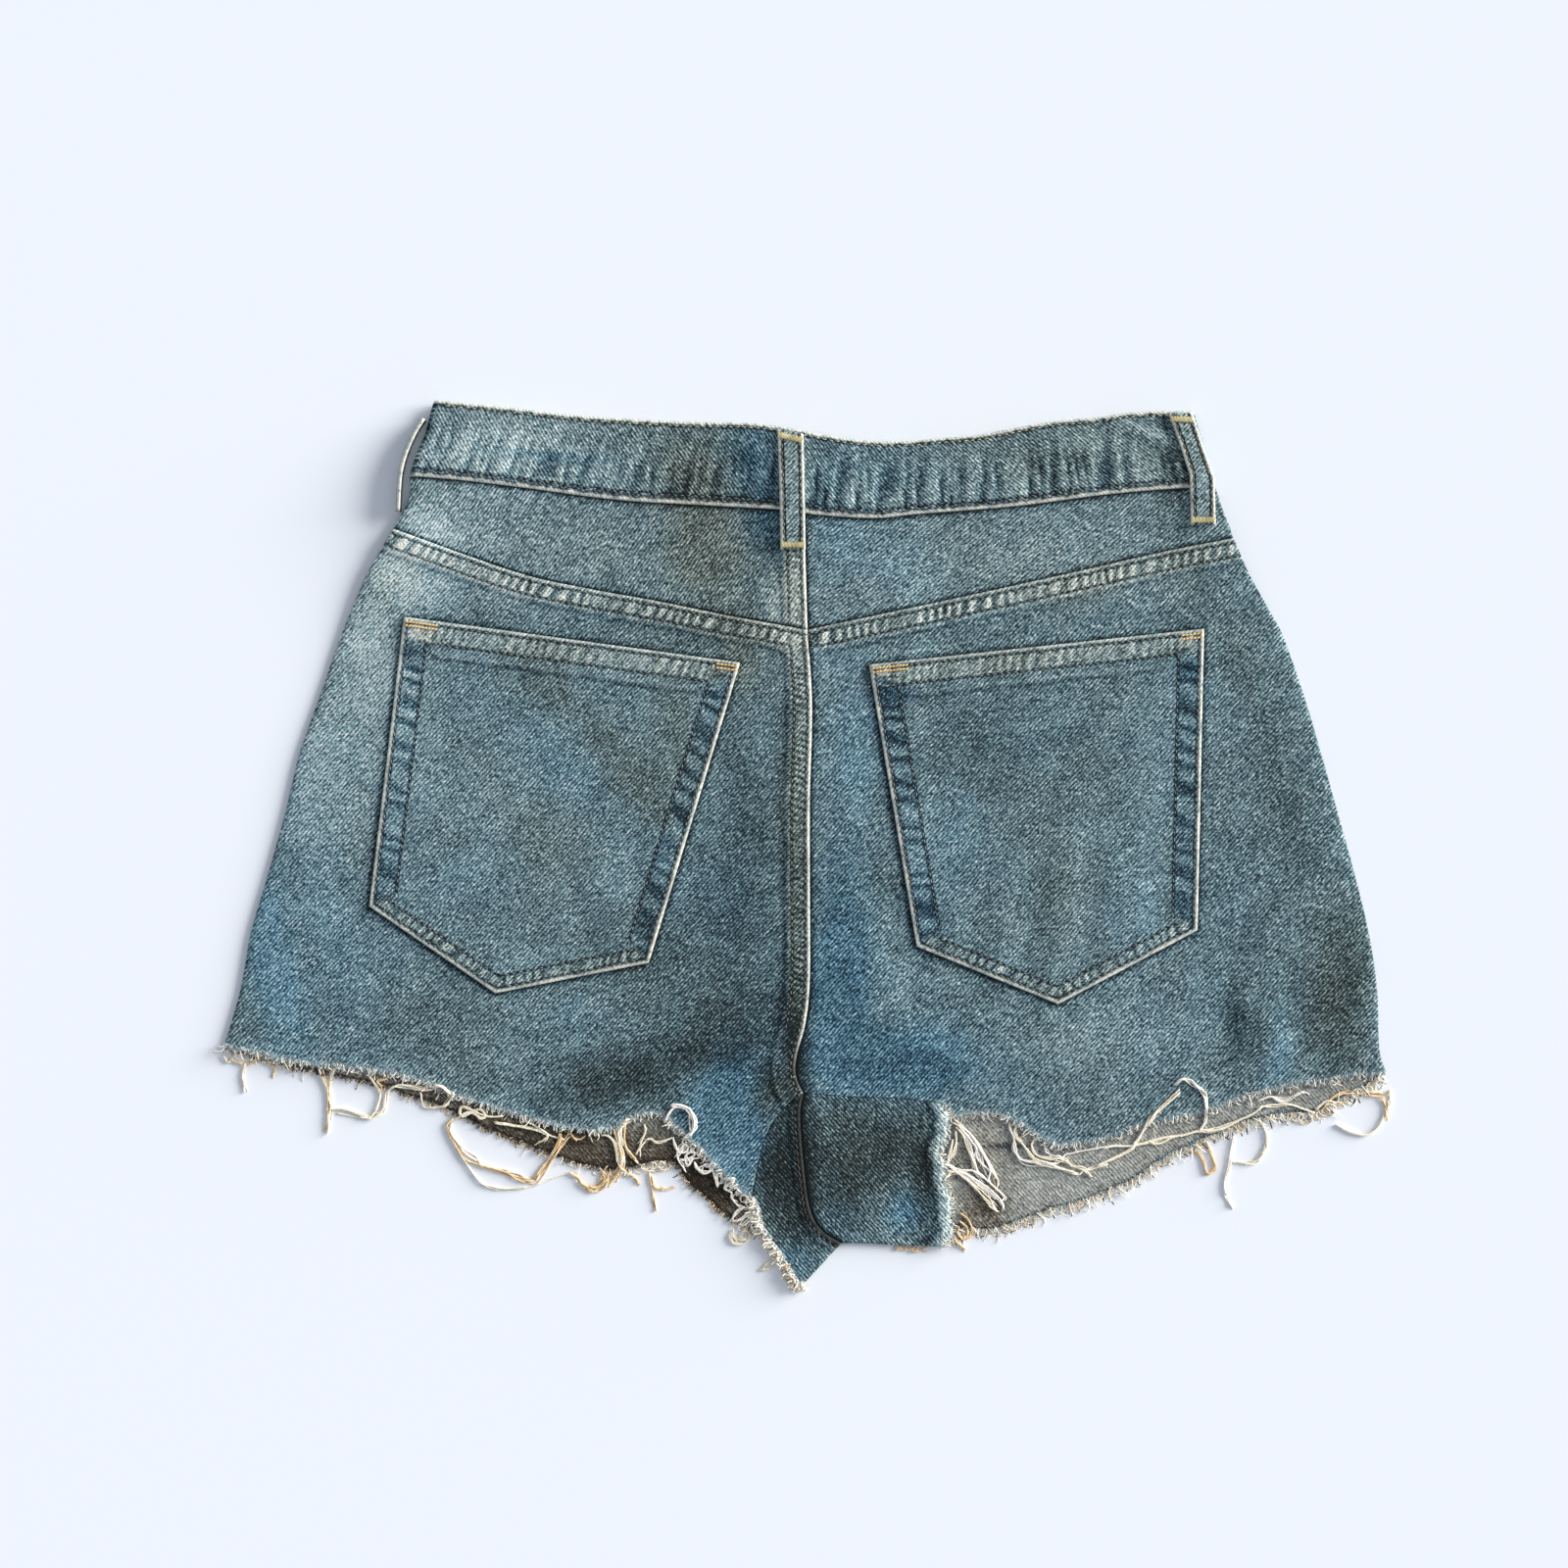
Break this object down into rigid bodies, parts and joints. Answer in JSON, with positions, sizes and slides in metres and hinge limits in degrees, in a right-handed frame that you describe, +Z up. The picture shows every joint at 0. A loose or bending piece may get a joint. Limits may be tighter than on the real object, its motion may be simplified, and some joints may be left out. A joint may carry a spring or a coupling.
{
  "type": "denim shorts",
  "caption": "Cut-off denim shorts laid flat with the back up: waistband with belt loops, yokes, patch pockets and raw frayed hems with long loose threads.",
  "frame": {"origin": "middle of the garment's outline on the surface that it lies on", "axes": "+X to the wearer's right across the hips, +Y to the waistband, +Z up from the surface, with the back of the shorts on top"},
  "size_m": [0.5382, 0.4123, 0.0107],
  "materials": {
    "denim": "washed mid-blue twill with a grey-brown cast, paler along the seams, cream stitching",
    "denim_inside": "pale grey-blue reverse of the twill",
    "fray_thread": "loose cream and white cotton threads",
    "zip_tape": "dark woven tape with a metal chain",
    "button_metal": "aged copper-coloured metal"
  },
  "bodies": {
    "root": {"waistband": "denim", "yoke_left": "denim", "yoke_right": "denim", "back_panel_left": "denim", "back_panel_right": "denim", "back_pocket_left": "denim", "back_pocket_right": "denim", "front_turnup_left": "denim", "front_turnup_right": "denim", "belt_loop_back": "denim", "belt_loop_right": "denim", "belt_loop_left": "denim", "belt_loop_front_left": "denim", "belt_loop_front_right": "denim", "front_panel_left": "denim_inside", "front_panel_right": "denim_inside", "fly_shield": "denim_inside", "fly_zip": "zip_tape", "waist_button": "button_metal", "fray_back_left": "fray_thread", "fray_back_right": "fray_thread", "fray_front_left": "fray_thread", "fray_front_right": "fray_thread", "fray_turnup_left": "fray_thread", "fray_turnup_right": "fray_thread"}
  },
  "joints": []
}
